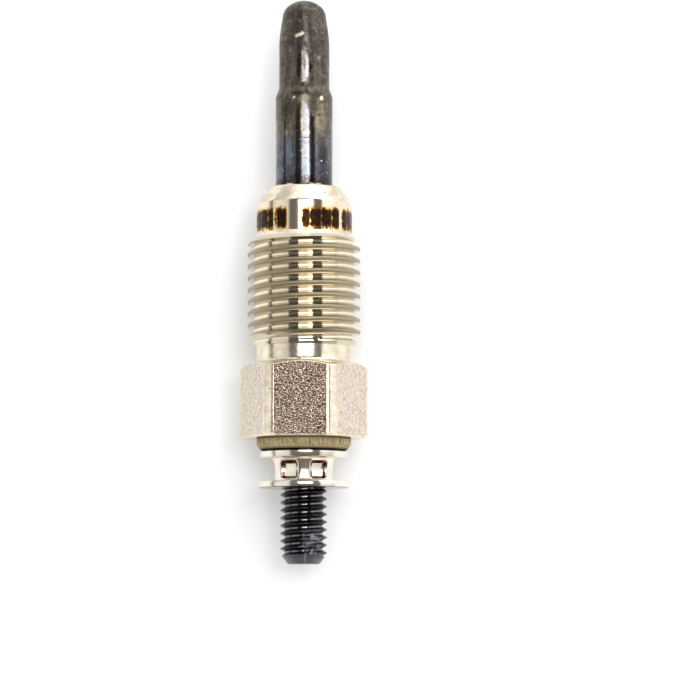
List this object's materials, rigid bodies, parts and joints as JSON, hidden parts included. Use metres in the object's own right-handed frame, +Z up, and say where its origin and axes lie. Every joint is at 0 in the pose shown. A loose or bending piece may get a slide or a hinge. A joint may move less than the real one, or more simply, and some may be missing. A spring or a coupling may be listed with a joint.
{
  "type": "diesel glow plug",
  "caption": "Sheathed diesel glow plug with a hexagon, a screw thread, a conical seat, a domed heating rod and a threaded terminal with a crimped round nut.",
  "frame": {"origin": "on the resting surface, under the middle of the plug's length", "axes": "+Y along the plug's axis towards the glow tip, +Z up from the hexagon flat it lies on"},
  "size_m": [0.0134, 0.0594, 0.012],
  "materials": {
    "nickel_plated_steel": "satin nickel plate, slightly yellowed",
    "heat_tinted_alloy": "dark oxide with temper colours",
    "resistance_wire": "drawn wire, dull",
    "magnesia_powder": "pressed powder, matt",
    "seal_rubber": "matt",
    "blackened_steel": "black oxide, worn at the end",
    "vulcanised_fibre": "fibrous, matt",
    "bright_nickel": "bright nickel plate"
  },
  "bodies": {
    "root": {"plug_body": "nickel_plated_steel", "glow_tube": "heat_tinted_alloy", "heating_coil": "resistance_wire", "regulating_coil": "resistance_wire", "magnesia_fill": "magnesia_powder", "tube_seal": "seal_rubber", "centre_electrode": "blackened_steel", "body_seal_ring": "seal_rubber", "insulating_washer": "vulcanised_fibre", "round_nut": "bright_nickel"}
  },
  "joints": []
}
